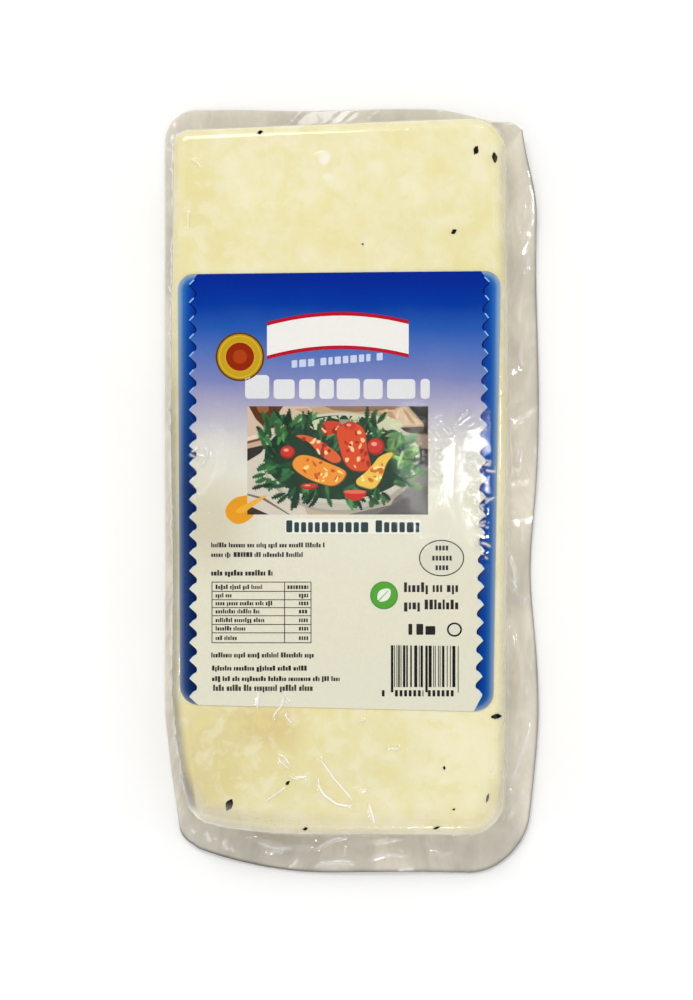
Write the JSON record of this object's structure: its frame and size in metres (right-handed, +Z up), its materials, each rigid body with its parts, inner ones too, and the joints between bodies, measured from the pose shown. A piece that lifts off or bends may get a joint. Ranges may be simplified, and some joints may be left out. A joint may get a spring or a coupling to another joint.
{
  "type": "halloumi block",
  "caption": "Catering block of halloumi cheese, vacuum packed in clear film with a wavy seal flange, with a printed label on its upper face.",
  "frame": {"origin": "middle of the whole footprint, flange included, on the surface that the pack rests on", "axes": "+Z up, out of the labelled face; +Y to the head of the label, along the pack; +X to the label's right"},
  "size_m": [0.1416, 0.2896, 0.0301],
  "materials": {
    "pack_film_and_cheese": "clear glossy film over pale yellow cheese",
    "cheese": "pale yellow, mottled, moist",
    "film": "clear glossy plastic film",
    "mint": "dark dried leaf",
    "label_paper": "coated label paper, blue above and cream below"
  },
  "bodies": {
    "root": {"pack": "pack_film_and_cheese", "label": "label_paper"}
  },
  "joints": []
}
